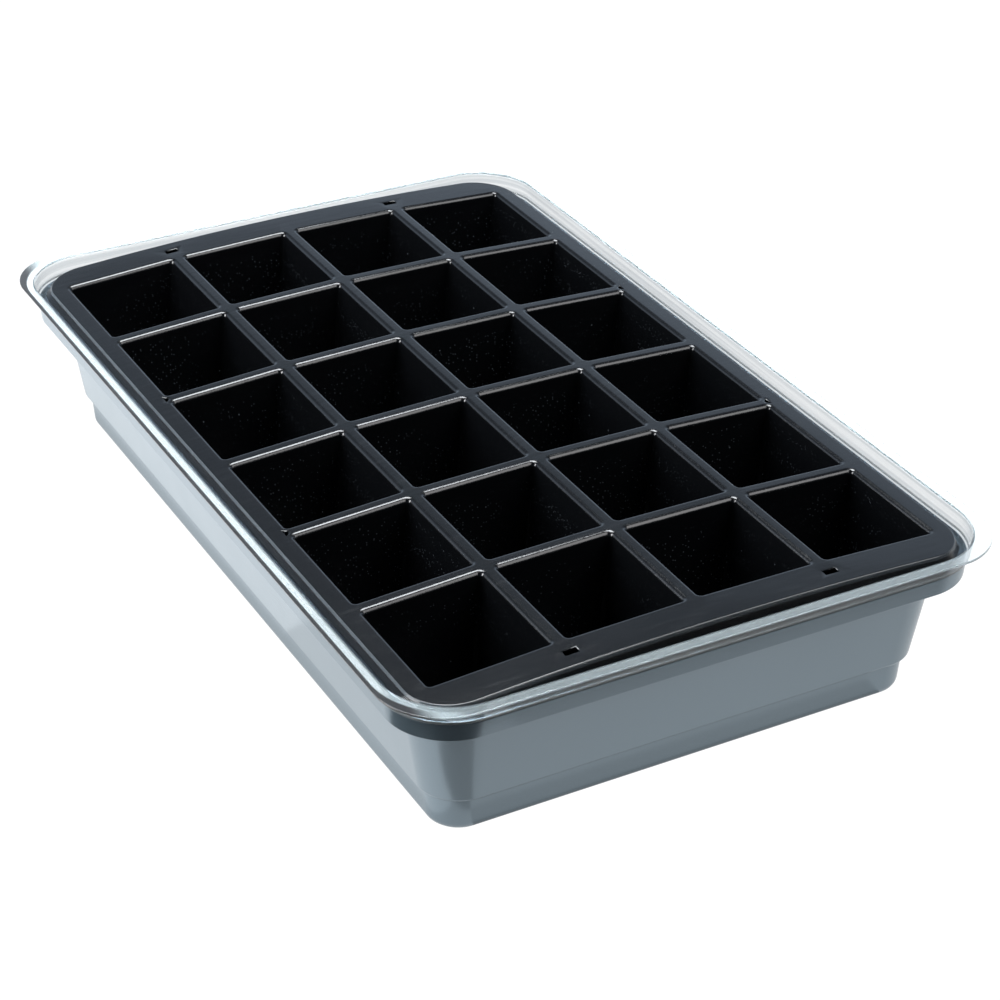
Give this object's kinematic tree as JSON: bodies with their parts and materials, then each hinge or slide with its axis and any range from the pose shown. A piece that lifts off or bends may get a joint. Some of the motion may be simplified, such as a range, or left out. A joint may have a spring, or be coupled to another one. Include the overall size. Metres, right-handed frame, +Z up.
{
  "type": "seed tray",
  "caption": "Rectangular seed tray set: a grey drip tray, a clear cover nested upside down in it, and a black cell insert that lifts out.",
  "frame": {"origin": "centre of the tray's underside, on the surface that it stands on", "axes": "+Z up, +Y along the long side, +X across"},
  "size_m": [0.2468, 0.3842, 0.0692],
  "materials": {
    "grey_plastic": "satin blue-grey moulded plastic",
    "clear_plastic": "clear glossy plastic",
    "black_plastic": "black plastic with a soft gloss and a little dust"
  },
  "bodies": {
    "tray": {"drip_tray": "grey_plastic"},
    "cover": {"clear_cover": "clear_plastic"},
    "insert": {"cell_insert": "black_plastic"}
  },
  "joints": [
    {"name": "cover_lift", "type": "slide", "parent": "tray", "child": "cover", "axis": [0, 0, 1], "range_m": [0, 0.06]},
    {"name": "insert_lift", "type": "slide", "parent": "cover", "child": "insert", "axis": [0, 0, 1], "range_m": [0, 0.06]}
  ]
}
